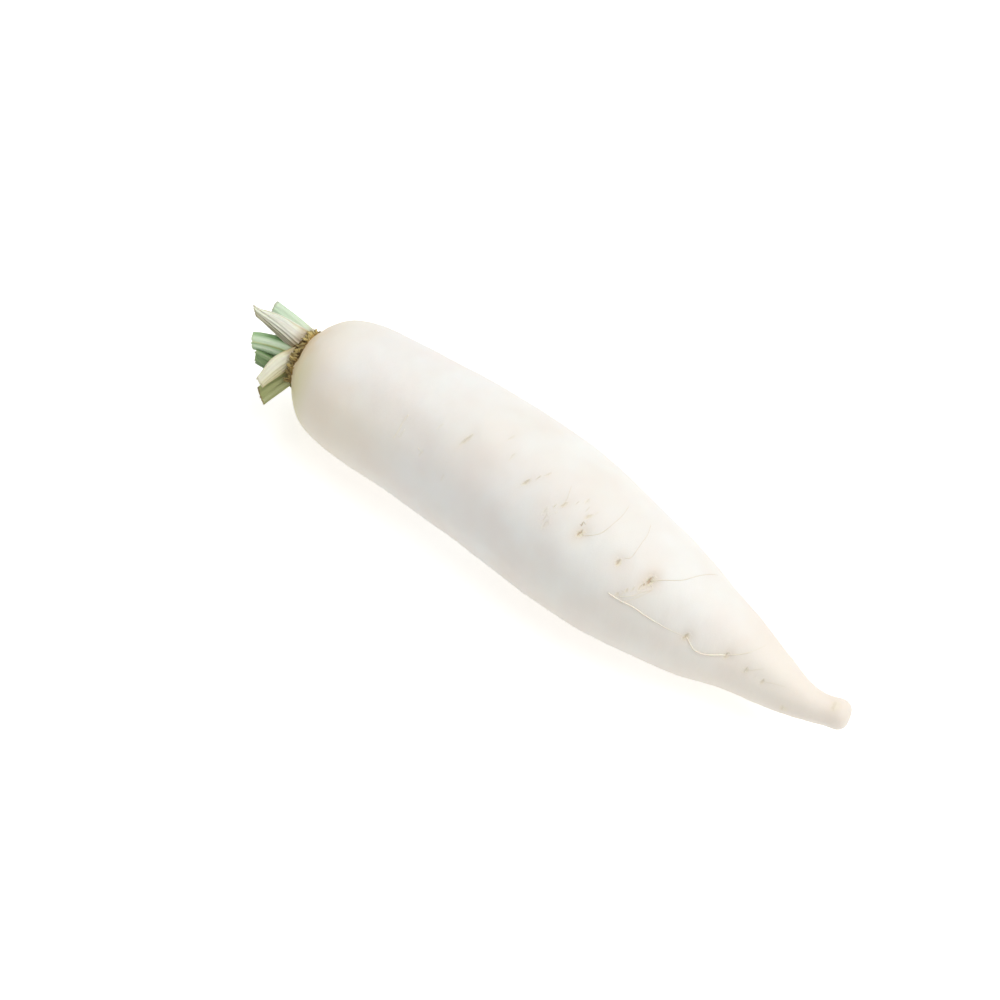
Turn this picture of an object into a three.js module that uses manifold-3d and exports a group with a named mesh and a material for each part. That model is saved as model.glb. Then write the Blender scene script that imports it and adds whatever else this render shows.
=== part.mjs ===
// A daikon radish, lifted and trimmed: the white taproot with its short crown, the cut-off
// leaf stalks that stand on the crown, and the dry bases of older leaves round the neck.
//
// Millimetres, +Z up. While it is made, the root's axis runs along +X, with the crown's
// plane at x = 0 and the tip at x = ROOT_LENGTH, and the surface it lies on is z = 0.
// The finished group is moved so that its origin is the bottom centre of its box.

import * as THREE from 'three';
import { mergeVertices } from 'three/addons/utils/BufferGeometryUtils.js';
import Module from 'manifold-3d';

const wasm = await Module();
wasm.setup();

// Driving dimensions of the root
const ROOT_LENGTH = 342;
// [distance along the axis, radius]: crown dome, neck, groove, shoulder, body, tail, blunt tip
const OUTLINE = [
  [-7, 0], [-6.4, 6], [-4.6, 11], [-1.6, 13.6], [1.4, 14.4], [1.6, 16], [3, 17], [8, 24],
  [16, 30.7], [28, 34.6], [46, 36.6], [72, 37.9], [105, 39.6], [140, 40.4], [175, 40.2], [207, 36.9],
  [236, 32.1], [262, 25.4], [285, 18.5], [303, 13.8], [318, 9.5], [330, 7.6], [337.5, 7.7],
  [341.2, 4.9], [342, 0],
];
// The axis swings sideways and sinks towards the tip: values at even steps from crown to tip
const SIDE_BEND = [0, 2, 3, 4.2, 4.9, 4.7, 3.7, 2.2, -0.1, -2.4, -3.3, -3.4, -3.4, -2.8, -4.2, -5.2, 0.2];
const AXIS_HEIGHT = [
  40, 39.1, 38.3, 37.9, 37.8, 38.3, 38.9, 39.1, 38.7, 37.5, 35.6, 33.1, 30.6, 28.7, 27.5, 27.9, 28.8,
];
const OVALNESS = 0.5;
const STEPS_PER_SPAN = 2.6;
const ROOT_SIDES = 36;

// Dents that side roots leave: [distance along the axis, angle round it in degrees, depth]
const DENTS = [
  [98, 134, 0.3], [117, 110, 0.5], [134, 93, 0.4], [156, 110, 0.6], [176, 108, 0.6],
  [191, 114, 0.8], [212, 113, 0.7], [228, 111, 0.9], [257, 134, 0.6], [278, 130, 0.5], [297, 132, 0.4],
  [101, 292, 0.5], [126, 283, 0.5], [171, 297, 0.6], [204, 285, 0.7], [246, 293, 0.6],
];
const DENT_LENGTH = 5;
const DENT_WIDTH = 7;

// Gap kept between pieces that touch
const GAP = 0.3;

// Leaf stalks. Points are measured from the crown's centre. `from` lies inside the crown,
// `to` is the middle of the cut end, and `lean` pushes the middle of the stalk aside.
// `width` is given at the base, halfway and at the cut, `thick` at the base and at the cut.
// `cut` tilts the cut face across and through the stalk, and `nib` is the share by which
// one edge runs in towards the cut. `facing` is the side the rounded back turns to.
const STALK_STEPS = 8;
const STALK_SIDES = 18;
const GROOVE = 1.05;
const RIB_DEPTH = 0.045;
const RIBS = 5;
const STALKS = [
  { name: 'leaf_stalk_1', from: [1, 2.6, 8.4], to: [-31.8, -0.8, 20], lean: [-1, 0.3, 0.2],
    width: [14, 10.2, 7.8], thick: [7, 3.8], cut: [1, 0.4], nib: 0.8, facing: [0.3, -0.45, 0.85], look: 'pale' },
  { name: 'leaf_stalk_2', from: [0.7, 7.4, 5.8], to: [-28, 10, 11], lean: [-0.6, 0.3, 0.4],
    width: [11, 9.6, 8], thick: [6.4, 4.2], cut: [0.3, 0.2], nib: 0, facing: [0.3, -0.2, 0.9], look: 'mint' },
  { name: 'leaf_stalk_3', from: [0, -1.4, 4.2], to: [-25.4, -10.4, 6.4], lean: [-1, 0.6, 0.4],
    width: [10, 10.4, 9.4], thick: [7.5, 5.6], cut: [0.1, 0.25], nib: 0, facing: [0.1, -0.6, 0.8], look: 'fresh' },
  { name: 'leaf_stalk_4', from: [0, -8.4, -4.2], to: [-20.6, -14.1, 1], lean: [-1, -0.4, 0],
    width: [9, 9, 8.6], thick: [6.5, 5], cut: [0.4, 0.15], nib: 0, facing: [0.1, -0.8, 0.6], look: 'deep' },
  { name: 'leaf_stalk_5', from: [-0.8, -3.6, 8.4], to: [-8.4, -26.6, 1.6], lean: [-0.9, -0.3, 0.7],
    width: [7.6, 9.6, 6.8], thick: [6, 4], cut: [-0.3, 0.2], nib: 0.25, facing: [0.45, -0.35, 0.85], look: 'cream' },
  { name: 'leaf_stalk_6', from: [1.4, -8.4, -1.4], to: [-7.3, -28, -8.6], lean: [-0.8, -0.4, -0.2],
    width: [8, 9.4, 9.4], thick: [6, 4.4], cut: [-0.35, 0.2], nib: 0, facing: [0.5, -0.4, 0.75], look: 'olive' },
  { name: 'leaf_stalk_7', from: [1, 8.2, -0.6], to: [-17, 11.5, -1.5], lean: [-1.2, 0.8, 0],
    width: [10, 9, 8], thick: [6.6, 5], cut: [-0.3, 0.3], nib: 0, facing: [0.2, 0.95, -0.1], look: 'fresh' },
  { name: 'leaf_stalk_8', from: [2, 4.8, -7], to: [-16, 8, -14], lean: [-1.2, 0.4, -0.8],
    width: [10, 9, 7.6], thick: [6.4, 4.6], cut: [0.4, 0.1], nib: 0.2, facing: [0.2, 0.6, -0.8], look: 'olive' },
  { name: 'leaf_stalk_9', from: [2, -2.5, -8.5], to: [-15.5, -5, -17], lean: [-1.2, 0, -0.8],
    width: [10.5, 9, 8], thick: [6.6, 5], cut: [-0.25, 0.35], nib: 0, facing: [0.2, -0.15, -0.95], look: 'deep' },
  { name: 'leaf_stalk_10', from: [-2, 2.4, 1], to: [-20.5, 1, 5], lean: [-1, 0.6, 0],
    width: [8.5, 8, 7], thick: [6.5, 5.5], cut: [0.3, -0.2], nib: 0, facing: [0, 0.3, 0.95], look: 'deep' },
  { name: 'leaf_stalk_11', from: [-2, 1.4, -4], to: [-16.5, 3, -6], lean: [-1, 0, -0.4],
    width: [8, 7.4, 6.4], thick: [6, 5], cut: [-0.3, 0.2], nib: 0, facing: [0, 0.2, -0.96], look: 'fresh' },
  { name: 'leaf_stalk_12', from: [-2, -3, -1.6], to: [-18.5, -4.6, -2.2], lean: [-1, -0.4, 0],
    width: [7.5, 7, 6], thick: [5.6, 4.6], cut: [0.2, 0.3], nib: 0, facing: [0, -0.9, -0.4], look: 'fresh' },
];

// Dry leaf bases: [middle angle in degrees, half the arc, length towards the leaves, flare]
const SCALE_THICK = 0.9;
const SCALE_START = 2.2;
const SCALE_RADIUS = 15;
const SCALE_ROWS = 4;
const SCALE_COLUMNS = 11;
const SCALES = [
  [62, 25, 4.8, 1], [112, 22, 3.8, 0.5], [158, 21, 3.6, 0.6], [204, 22, 4, 0.8],
  [252, 23, 5.2, 1.1], [304, 26, 5, 0.8], [4, 28, 5.6, 0.9],
];

// Colours seen on the real thing, with their roughness
const LOOKS = {
  skin: ['#f3f0e7', 0.38],
  pale: ['#dcdcc0', 0.6],
  mint: ['#c5dcb6', 0.5],
  fresh: ['#8fbf78', 0.42],
  deep: ['#5d9657', 0.45],
  cream: ['#e4e2bb', 0.55],
  olive: ['#9aa766', 0.5],
  dry: ['#a98646', 0.8],
};

// Turns degrees into radians.
const radians = THREE.MathUtils.degToRad;

// Catmull-Rom through evenly spaced points (arrays of numbers), t running from 0 to 1.
// Outside that range the curve runs straight on.
function smooth(points, t) {
  const spans = points.length - 1;
  const at = (i) => {
    if (i < 0) return points[0].map((p, k) => 2 * p - points[1][k]);
    if (i > spans) return points[spans].map((p, k) => 2 * p - points[spans - 1][k]);
    return points[i];
  };
  const inside = THREE.MathUtils.clamp(t, 0, 1);
  const i = Math.min(Math.floor(inside * spans), spans - 1);
  const f = inside * spans - i;
  const over = (t - inside) * spans;
  const end = t < 0 ? -1 : spans;
  return at(i).map((p1, k) => {
    const p0 = at(i - 1)[k];
    const p2 = at(i + 1)[k];
    const p3 = at(i + 2)[k];
    const a = (p2 - p0) / 2;
    const b = (p3 - p1) / 2;
    const curve = (2 * p1 - 2 * p2 + a + b) * f ** 3 + (3 * p2 - 3 * p1 - 2 * a - b) * f ** 2 + a * f + p1;
    return curve + over * (at(end + 1)[k] - at(end)[k]);
  });
}

const AXIS = SIDE_BEND.map((side, i) => [side, AXIS_HEIGHT[i]]);

// The root's axis at a distance from the crown: its centre, and its two cross directions.
function axisAt(along) {
  const step = 0.05;
  const [y, z] = smooth(AXIS, along / ROOT_LENGTH);
  const [yBefore, zBefore] = smooth(AXIS, (along - step) / ROOT_LENGTH);
  const [yAfter, zAfter] = smooth(AXIS, (along + step) / ROOT_LENGTH);
  const forward = new THREE.Vector3(2 * step, yAfter - yBefore, zAfter - zBefore).normalize();
  const side = new THREE.Vector3(-forward.y, forward.x, 0).normalize();
  const up = new THREE.Vector3().crossVectors(forward, side);
  return { centre: new THREE.Vector3(along, y, z), side, up };
}

// How far the skin stands off the smooth outline, in millimetres: a slow swell that makes
// the root a little oval and uneven, less the dents. It fades out at both ends.
function relief(along, angle) {
  const fade = THREE.MathUtils.smoothstep(along, 5, 50) * (1 - THREE.MathUtils.smoothstep(along, 270, 335));
  const swell = OVALNESS * Math.cos(2 * angle + along / 90) + 0.25 * Math.sin(3 * angle - along / 37);
  let dent = 0;
  for (const [x, degrees, depth] of DENTS) {
    const radius = smooth(OUTLINE, 0.5)[1];
    const turn = Math.atan2(Math.sin(angle - radians(degrees)), Math.cos(angle - radians(degrees)));
    const reach = ((along - x) / DENT_LENGTH) ** 2 + ((turn * radius) / DENT_WIDTH) ** 2;
    dent += depth * Math.exp(-reach);
  }
  return fade * swell - dent;
}

// A closed mesh from rings of equal length between two end points. The rings run
// counterclockwise seen from the last one.
function closeRings(first, rings, last) {
  const points = [first, ...rings.flat(), last];
  const sides = rings[0].length;
  const index = [];
  const id = (ring, k) => 1 + ring * sides + (k % sides);
  for (let k = 0; k < sides; k++) {
    index.push(0, id(0, k + 1), id(0, k));
    index.push(points.length - 1, id(rings.length - 1, k), id(rings.length - 1, k + 1));
    for (let ring = 0; ring < rings.length - 1; ring++) {
      index.push(id(ring, k), id(ring, k + 1), id(ring + 1, k + 1));
      index.push(id(ring, k), id(ring + 1, k + 1), id(ring + 1, k));
    }
  }
  const geometry = new THREE.BufferGeometry().setFromPoints(points);
  geometry.setIndex(index);
  return mergeVertices(geometry);
}

// The outline at t from 0 to 1, moved outwards by `grow` along its own normal.
function outlineAt(t, grow) {
  const step = 1e-3;
  const [along, radius] = smooth(OUTLINE, t);
  const [alongBefore, radiusBefore] = smooth(OUTLINE, Math.max(t - step, 0));
  const [alongAfter, radiusAfter] = smooth(OUTLINE, Math.min(t + step, 1));
  const run = alongAfter - alongBefore;
  const rise = radiusAfter - radiusBefore;
  const length = Math.hypot(run, rise);
  return [along - (grow * rise) / length, radius + (grow * run) / length];
}

// The root's surface, grown outwards by `grow`: rings of the outline round the bent axis,
// with everything below the resting surface pressed flat onto it.
function rootGeometry(grow) {
  const count = Math.round((OUTLINE.length - 1) * STEPS_PER_SPAN);
  const rings = [];
  for (let i = 1; i < count; i++) {
    const [along, radius] = outlineAt(i / count, grow);
    const { centre, side, up } = axisAt(along);
    const ring = [];
    for (let k = 0; k < ROOT_SIDES; k++) {
      const angle = (2 * Math.PI * k) / ROOT_SIDES;
      const reach = radius + relief(along, angle);
      const point = centre.clone()
        .addScaledVector(side, reach * Math.cos(angle))
        .addScaledVector(up, reach * Math.sin(angle));
      point.z = Math.max(point.z, -grow);
      ring.push(point);
    }
    rings.push(ring);
  }
  return closeRings(axisAt(OUTLINE[0][0] - grow).centre, rings, axisAt(ROOT_LENGTH + grow).centre);
}

const CROWN = axisAt(0).centre;

// A stalk's cross section at angle q: a rounded, ribbed back and a shallow groove in front.
function stalkSection(q, width, thick) {
  const across = (width / 2) * Math.cos(q);
  const rise = Math.sin(q);
  if (rise >= 0) {
    const ribs = 1 + RIB_DEPTH * Math.cos(2 * RIBS * q);
    return [across, thick * 0.62 * rise ** 0.8 * ribs];
  }
  return [across, thick * 0.42 * rise * (1 - GROOVE * rise * rise)];
}

// A leaf stalk grown outwards by `grow`: the section carried along a bent line from inside
// the crown to the slanting cut, wide at the base where it clasps the crown.
function stalkGeometry(stalk, grow) {
  const from = CROWN.clone().add(new THREE.Vector3(...stalk.from));
  const to = CROWN.clone().add(new THREE.Vector3(...stalk.to));
  const middle = from.clone().lerp(to, 0.5).add(new THREE.Vector3(...stalk.lean).multiplyScalar(2));
  const line = new THREE.QuadraticBezierCurve3(from, middle, to);
  const facing = new THREE.Vector3(...stalk.facing);
  const rings = [];
  const centres = [];
  for (let i = 0; i <= STALK_STEPS; i++) {
    const t = i / STALK_STEPS;
    const forward = line.getTangent(t);
    const across = new THREE.Vector3().crossVectors(forward, facing).normalize();
    const back = new THREE.Vector3().crossVectors(across, forward);
    const width = smooth(stalk.width.map((w) => [w]), t)[0];
    const thick = THREE.MathUtils.lerp(stalk.thick[0], stalk.thick[1], t);
    const slant = THREE.MathUtils.smoothstep(t, 0.5, 1);
    const nib = 1 - stalk.nib * THREE.MathUtils.smoothstep(t, 0.45, 1);
    const over = i === STALK_STEPS ? grow : 0;
    const centre = line.getPoint(t).addScaledVector(forward, over);
    centres.push(centre.clone().addScaledVector(back, thick * 0.25));
    const ring = [];
    for (let k = 0; k < STALK_SIDES; k++) {
      const q = (2 * Math.PI * k) / STALK_SIDES;
      const [flat, deep] = stalkSection(q, width, thick);
      const a = (flat > 0 ? flat * nib : flat) + grow * Math.cos(q);
      const b = deep + grow * Math.sin(q);
      const lift = slant * (stalk.cut[0] * a + stalk.cut[1] * b);
      ring.push(centre.clone().addScaledVector(across, a).addScaledVector(back, b).addScaledVector(forward, lift));
    }
    rings.push(ring);
  }
  return closeRings(centres[0], rings, centres[STALK_STEPS]);
}

// A dry leaf base: a thin shell round part of the neck, wider where it starts at the
// shoulder and ragged where it ends towards the leaves.
function scaleGeometry([degrees, halfArc, length, flare], index) {
  const outer = [];
  const inner = [];
  for (let row = 0; row < SCALE_ROWS; row++) {
    const t = row / (SCALE_ROWS - 1);
    for (let column = 0; column < SCALE_COLUMNS; column++) {
      const s = (2 * column) / (SCALE_COLUMNS - 1) - 1;
      const teeth = 0.22 * Math.sin(6.1 * s + 2.1 * index) + 0.18 * Math.sin(13.7 * s + 4.3 * index);
      const arch = 1 - 0.25 * s * s;
      const along = SCALE_START - length * t * (1 + teeth * t) * arch;
      const angle = radians(degrees + halfArc * s * (1 - 0.1 * t));
      const { centre, side, up } = axisAt(along);
      const wrinkle = 0.4 * Math.sin(7 * s + 3 * index) * t;
      const radius = SCALE_RADIUS + flare * t * t + wrinkle;
      const direction = side.multiplyScalar(Math.cos(angle)).addScaledVector(up, Math.sin(angle));
      inner.push(centre.clone().addScaledVector(direction, radius));
      outer.push(centre.clone().addScaledVector(direction, radius + SCALE_THICK));
    }
  }
  const points = [...inner, ...outer];
  const index3 = [];
  const low = (row, column) => row * SCALE_COLUMNS + column;
  const high = (row, column) => inner.length + low(row, column);
  const quad = (a, b, c, d) => index3.push(a, b, c, a, c, d);
  for (let row = 0; row < SCALE_ROWS - 1; row++) {
    for (let column = 0; column < SCALE_COLUMNS - 1; column++) {
      quad(high(row, column), high(row + 1, column), high(row + 1, column + 1), high(row, column + 1));
      quad(low(row, column), low(row, column + 1), low(row + 1, column + 1), low(row + 1, column));
    }
  }
  const lastRow = SCALE_ROWS - 1;
  const lastColumn = SCALE_COLUMNS - 1;
  for (let column = 0; column < lastColumn; column++) {
    quad(low(0, column), high(0, column), high(0, column + 1), low(0, column + 1));
    quad(low(lastRow, column + 1), high(lastRow, column + 1), high(lastRow, column), low(lastRow, column));
  }
  for (let row = 0; row < lastRow; row++) {
    quad(low(row + 1, 0), high(row + 1, 0), high(row, 0), low(row, 0));
    quad(low(row, lastColumn), high(row, lastColumn), high(row + 1, lastColumn), low(row + 1, lastColumn));
  }
  const geometry = new THREE.BufferGeometry().setFromPoints(points);
  geometry.setIndex(index3);
  return mergeVertices(geometry);
}

// A closed geometry as a solid that can be cut, turned the right way out if need be.
function solid(geometry) {
  const vertProperties = new Float32Array(geometry.getAttribute('position').array);
  const triVerts = new Uint32Array(geometry.getIndex().array);
  const body = new wasm.Manifold(new wasm.Mesh({ numProp: 3, vertProperties, triVerts }));
  if (body.volume() > 0) return body;
  for (let i = 0; i < triVerts.length; i += 3) [triVerts[i], triVerts[i + 1]] = [triVerts[i + 1], triVerts[i]];
  return new wasm.Manifold(new wasm.Mesh({ numProp: 3, vertProperties, triVerts }));
}

// The largest body of a solid: what is left when small scraps are cut loose.
function largest(body) {
  return body.decompose().reduce((best, piece) => (piece.volume() > best.volume() ? piece : best));
}

// A named mesh of a solid, in one of the looks.
function mesh(name, body, look) {
  const { vertProperties, triVerts } = body.getMesh();
  const geometry = new THREE.BufferGeometry();
  geometry.setAttribute('position', new THREE.BufferAttribute(vertProperties, 3));
  geometry.setIndex(new THREE.BufferAttribute(triVerts, 1));
  geometry.computeVertexNormals();
  const [color, roughness] = LOOKS[look];
  const piece = new THREE.Mesh(geometry, new THREE.MeshStandardMaterial({ color, roughness, metalness: 0 }));
  piece.name = name;
  return piece;
}

const radish = new THREE.Group();
radish.add(mesh('root', solid(rootGeometry(0)), 'skin'));

// Every later piece is cut clear of the root and of the pieces before it.
let taken = solid(rootGeometry(GAP));
for (const stalk of STALKS) {
  const body = largest(solid(stalkGeometry(stalk, 0)).subtract(taken));
  radish.add(mesh(stalk.name, body, stalk.look));
  taken = taken.add(solid(stalkGeometry(stalk, GAP)));
}
SCALES.forEach((scale, i) => {
  const body = largest(solid(scaleGeometry(scale, i)).subtract(taken));
  radish.add(mesh(`dry_leaf_base_${i + 1}`, body, 'dry'));
});

const box = new THREE.Box3().setFromObject(radish);
const centre = box.getCenter(new THREE.Vector3());
radish.position.set(-centre.x, -centre.y, -box.min.z);

export default radish;
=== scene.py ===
# %% [markdown]
# A daikon is a thick white taproot. This one lies on its side, with its leaf stalks cut short.
# The solid model gives the true sizes and stays as it is. Every surface that is seen gets a finer
# skin here, laid on the same curves, so that the two always agree. A sculpted mesh would look as
# good, but curves in numbers can be read, changed and repeated.

import math

import bpy
import numpy as np
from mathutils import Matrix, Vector


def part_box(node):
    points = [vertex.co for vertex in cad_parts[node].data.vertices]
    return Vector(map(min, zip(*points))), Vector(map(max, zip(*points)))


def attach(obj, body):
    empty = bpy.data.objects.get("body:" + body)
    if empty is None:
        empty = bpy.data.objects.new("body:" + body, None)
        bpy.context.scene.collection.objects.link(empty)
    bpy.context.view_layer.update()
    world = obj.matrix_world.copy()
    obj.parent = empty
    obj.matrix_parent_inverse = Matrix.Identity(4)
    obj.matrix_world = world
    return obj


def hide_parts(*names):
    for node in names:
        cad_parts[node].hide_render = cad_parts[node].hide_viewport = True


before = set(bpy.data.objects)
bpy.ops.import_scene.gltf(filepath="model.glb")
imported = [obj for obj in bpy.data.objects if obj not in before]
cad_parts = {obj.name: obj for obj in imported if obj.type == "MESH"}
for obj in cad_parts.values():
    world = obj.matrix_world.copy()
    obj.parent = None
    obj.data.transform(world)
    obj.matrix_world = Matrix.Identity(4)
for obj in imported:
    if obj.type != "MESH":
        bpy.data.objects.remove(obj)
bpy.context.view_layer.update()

# %% [markdown]
# The root is a profile turned round a bent axis. A few values describe both, and a
# Catmull-Rom curve runs smoothly through them. Bezier handles would do too, but they need twice
# the numbers. Lengths here are millimetres, with the crown's plane at 0 and the tip at 342, and
# only the last step turns them into metres.

# %% Smooth curves through a few values
MM = 0.001


def smoothstep(value, low, high):
    """0 below low and 1 above high, and 3t² - 2t³ between them."""
    t = np.clip((value - low) / (high - low), 0, 1)
    return t * t * (3 - 2 * t)


def bell(value, middle, width):
    """e to the power of minus the square of (value - middle) / width."""
    return np.exp(-(((value - middle) / width) ** 2))


def smooth(points, t):
    """Catmull-Rom through evenly spaced rows of points, t from 0 to 1, running straight on outside."""
    points = np.asarray(points, float)
    points = points[:, None] if points.ndim == 1 else points
    spans = len(points) - 1
    row = np.vstack([2 * points[:1] - points[1:2], points, 2 * points[-1:] - points[-2:-1]])
    t = np.asarray(t, float)
    inside = np.clip(t, 0, 1)
    i = np.minimum((inside * spans).astype(int), spans - 1)
    f = (inside * spans - i)[..., None]
    before, here, after, later = (row[i + k] for k in range(4))
    leave = (after - before) / 2
    arrive = (later - here) / 2
    curve = (2 * here - 2 * after + leave + arrive) * f**3
    curve += (3 * after - 3 * here - 2 * leave - arrive) * f**2 + leave * f + here
    end = np.where(t[..., None] < 0, row[1] - row[0], row[-1] - row[-2])
    return curve + ((t - inside) * spans)[..., None] * end


def unit(vectors):
    """Each vector divided by its own length."""
    return vectors / np.linalg.norm(vectors, axis=-1, keepdims=True)


# %% The root's bent axis
ROOT_LENGTH = 342
SIDE_BEND = [0, 2, 3, 4.2, 4.9, 4.7, 3.7, 2.2, -0.1, -2.4, -3.3, -3.4, -3.4, -2.8, -4.2, -5.2, 0.2]
AXIS_HEIGHT = [
    40, 39.1, 38.3, 37.9, 37.8, 38.3, 38.9, 39.1, 38.7, 37.5, 35.6, 33.1, 30.6, 28.7, 27.5, 27.9, 28.8,
]
AXIS = np.stack([SIDE_BEND, AXIS_HEIGHT], -1)


def axis_at(along):
    """The axis's centre at a distance from the crown, with its level side and its upward direction."""
    along = np.asarray(along, float)
    step = 0.05
    run = smooth(AXIS, (along + step) / ROOT_LENGTH) - smooth(AXIS, (along - step) / ROOT_LENGTH)
    forward = unit(np.concatenate([np.full(along.shape + (1,), 2 * step), run], -1))
    side = unit(np.stack([-forward[..., 1], forward[..., 0], np.zeros_like(along)], -1))
    centre = np.concatenate([along[..., None], smooth(AXIS, along / ROOT_LENGTH)], -1)
    return centre, side, np.cross(forward, side)


# %% [markdown]
# Skin is never perfectly even. Sums of sine waves in seeded random directions give soft
# swellings that fit any surface without a seam. Blender's own noise textures could push the
# vertices as well, but then the rootlets that lie on the skin couldn't ask for its height.

# %% Soft unevenness from waves
WAVES = 16


def ripple(points, length, seed):
    """The sum of sines of points·direction·2π/length + phase, scaled to swing between about -1 and 1."""
    random = np.random.default_rng(seed)
    directions = unit(random.normal(size=(WAVES, points.shape[-1])))
    stretch = random.uniform(0.7, 1.5, WAVES)
    phases = random.uniform(0, 2 * np.pi, WAVES)
    total = np.zeros(points.shape[:-1])
    for direction, s, phase in zip(directions, stretch, phases):
        total += np.sin(points @ direction * (2 * np.pi * s / length) + phase)
    return total / math.sqrt(2 * WAVES)


# %% [markdown]
# Where thin side roots broke off, the skin keeps short slits across the root, each in a shallow
# hollow and often with a tan or brown stain. They stand in two rows, on opposite sides. Each is
# a real place: how far along the root, and at which angle round it.

# %% The profile and everything that dents it
# [distance along the axis, radius]: crown dome, neck, groove, shoulder, body, tail, blunt tip
OUTLINE = [
    [-7, 0], [-6.4, 6], [-4.6, 11], [-1.6, 13.6], [1.4, 14.4], [1.6, 16], [3, 17], [8, 24],
    [16, 30.7], [28, 34.6], [46, 36.6], [72, 37.9], [105, 39.6], [140, 40.4], [175, 40.2], [207, 36.9],
    [236, 32.1], [262, 25.4], [285, 18.5], [303, 13.8], [318, 9.5], [330, 7.6], [337.5, 7.7],
    [341.2, 4.9], [342, 0],
]
NECK_END = 1.6
OVALNESS = 0.5
# Broad hollows round the slits: [along, degrees, depth]
DENTS = [
    [98, 134, 0.3], [117, 110, 0.5], [134, 93, 0.4], [156, 110, 0.6], [176, 108, 0.6],
    [191, 114, 0.8], [212, 113, 0.7], [228, 111, 0.9], [257, 134, 0.6], [278, 130, 0.5], [297, 132, 0.4],
    [101, 292, 0.5], [126, 283, 0.5], [171, 297, 0.6], [204, 285, 0.7], [246, 293, 0.6],
]
DENT_LENGTH = 5
DENT_WIDTH = 7
WIDE_SHARE = 0.7
WIDE_REACH = 1.7
RIPPLE_HEIGHT = 0.26
FINE_RIPPLE_HEIGHT = 0.09
# Slits: [along, degrees, half length round the root, half width along it, depth, stain, slant]
SLITS = [
    [116.9, 110, 4.2, 1.3, 0.40, 0.35, 0.25], [98.4, 136.5, 2.2, 0.9, 0.18, 0.08, 0.2],
    [116.2, 142.5, 2.4, 0.9, 0.15, 0.05, 0.1], [133.9, 89.8, 2.6, 0.9, 0.18, 0.14, 0.2],
    [141.4, 101.2, 2.6, 1.0, 0.20, 0.16, 0.1], [155.6, 110, 2.6, 1.2, 0.42, 0.42, 0.3],
    [160.9, 96, 2.4, 0.8, 0.20, 0.22, 0.3], [171.9, 117.3, 2.2, 1.4, 0.25, 0.16, 0],
    [175.9, 124.2, 2.8, 1.5, 0.25, 0.14, 0], [176.6, 105.2, 2.2, 1.0, 0.30, 0.36, 0.3],
    [183.1, 92.2, 2.0, 1.0, 0.20, 0.20, 0], [188.6, 100.2, 2.2, 1.0, 0.25, 0.34, 0.3],
    [190.6, 113.5, 2.2, 1.3, 0.60, 0.92, 0.1], [211.8, 113.5, 1.9, 1.3, 0.50, 0.62, 0],
    [228.1, 110.5, 2.6, 1.7, 0.80, 1.00, 0.1], [226.3, 119.5, 1.8, 1.0, 0.30, 0.32, 0],
    [222.0, 127.5, 1.4, 0.9, 0.22, 0.30, 0], [219.4, 134.5, 1.5, 0.9, 0.20, 0.32, 0.2],
    [256.8, 134.5, 2.0, 1.4, 0.55, 0.60, 0.2], [278.3, 130, 1.9, 1.3, 0.45, 0.42, 0.1],
    [290.5, 131.8, 1.8, 1.2, 0.40, 0.36, 0], [299.8, 133.2, 1.7, 1.1, 0.40, 0.30, 0.1],
    [314, 171, 2.2, 1.8, 0.12, 0.34, 0], [334.6, 95.8, 3.1, 2.6, 0.05, 0.30, 0],
    [58, 288, 1.8, 0.9, 0.25, 0.20, 0.2], [84, 281, 2.4, 1.0, 0.30, 0.30, -0.2],
    [101, 292, 3.4, 1.2, 0.40, 0.45, 0.1], [126, 283, 2.4, 1.2, 0.45, 0.60, 0.2],
    [133, 299, 2.0, 0.9, 0.22, 0.20, 0], [152, 290, 2.6, 1.2, 0.45, 0.50, -0.2],
    [171, 297, 2.4, 1.4, 0.60, 0.85, 0.1], [186, 282, 2.0, 1.0, 0.30, 0.30, 0.3],
    [204, 285, 2.6, 1.5, 0.65, 0.90, 0], [221, 297, 1.8, 1.1, 0.35, 0.40, 0.2],
    [246, 293, 2.2, 1.3, 0.50, 0.60, -0.1], [268, 284, 1.8, 1.2, 0.40, 0.45, 0],
    [287, 296, 1.6, 1.1, 0.35, 0.35, 0.2], [305, 288, 1.5, 1.0, 0.30, 0.30, 0],
    [72, 20, 1.6, 0.7, 0.14, 0.10, 0.2], [146, 222, 1.8, 0.8, 0.16, 0.14, 0],
    [198, 12, 1.6, 0.7, 0.14, 0.12, 0.1], [240, 210, 1.5, 0.8, 0.16, 0.16, 0.2],
]


def turn_from(angle, degrees):
    """The angle's distance from a direction given in degrees, the short way round, in radians."""
    away = angle - math.radians(degrees)
    return np.arctan2(np.sin(away), np.cos(away))


def slit_place(along, angle, radius, slit):
    """A point's place in a slit's own measure, along the root and round it: 1 is the slit's edge."""
    x, degrees, half_round, half_along, _, _, slant = slit
    across = turn_from(angle, degrees) * radius
    return (along - x + slant * across) / half_along, across / half_round


def broad_height(along, angle):
    """Height over the plain profile in millimetres: a slow oval swell, less the broad hollows."""
    fade = smoothstep(along, 5, 50) * (1 - smoothstep(along, 270, 335))
    swell = OVALNESS * np.cos(2 * angle + along / 90) + 0.25 * np.sin(3 * angle - along / 37)
    height = fade * swell
    middle_radius = smooth(OUTLINE, 0.5)[..., 1]
    for x, degrees, depth in DENTS:
        turn = turn_from(angle, degrees) * middle_radius / DENT_WIDTH
        height = height - depth * np.exp(-(((along - x) / DENT_LENGTH) ** 2) - turn**2)
    return height


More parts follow.
